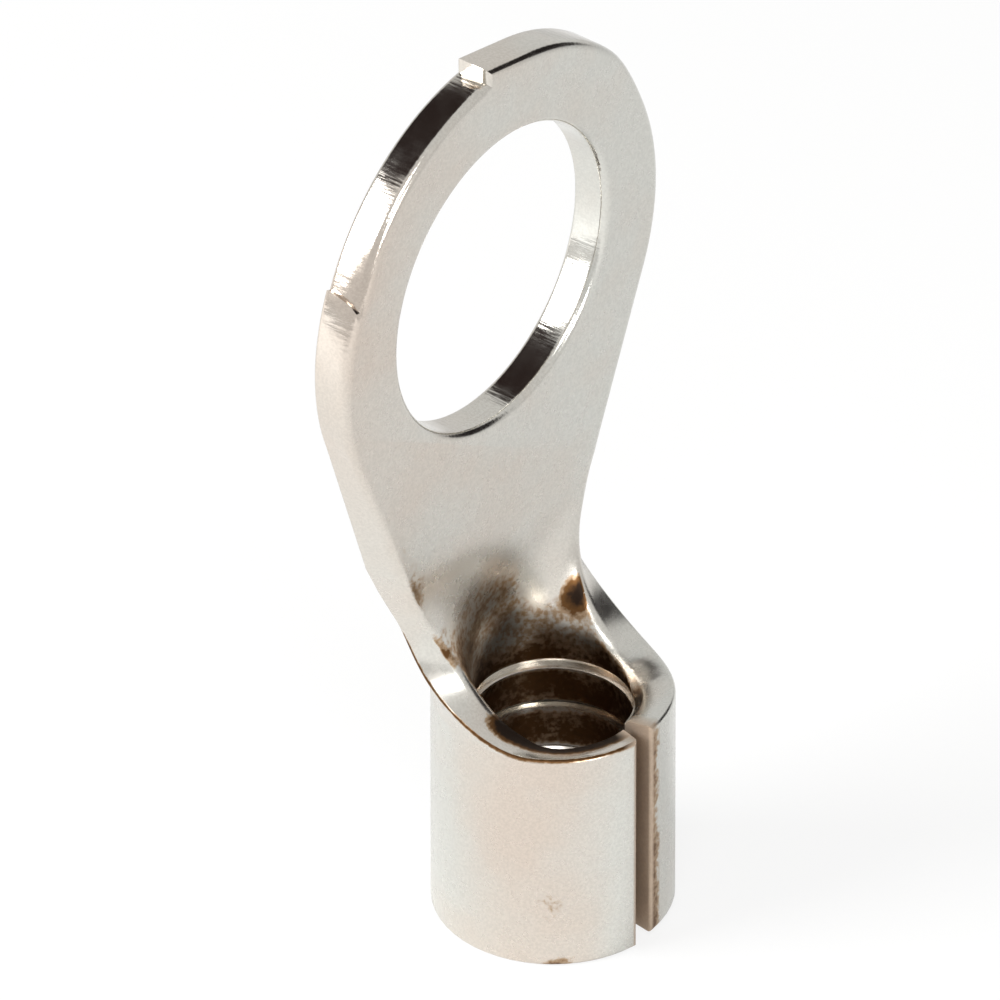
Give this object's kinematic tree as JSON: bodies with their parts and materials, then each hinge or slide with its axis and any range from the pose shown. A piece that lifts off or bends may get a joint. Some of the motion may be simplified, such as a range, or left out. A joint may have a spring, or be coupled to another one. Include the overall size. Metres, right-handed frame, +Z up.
{
  "type": "ring terminal",
  "caption": "Bare ring terminal: a plated sheet stamped as a flat ring tongue and rolled below its neck into a short seamed barrel that is crimped onto a wire.",
  "frame": {"origin": "centre of the barrel's lower end, on the barrel's axis", "axes": "+Z up the barrel's axis to the ring, +Y from the barrel's seam to the tongue, X across the tongue"},
  "size_m": [0.0126, 0.0062, 0.0249],
  "materials": {
    "plated_metal": "satin tin plating over copper, lightly tarnished inside the barrel and in the neck"
  },
  "bodies": {
    "root": {"terminal": "plated_metal"}
  },
  "joints": []
}
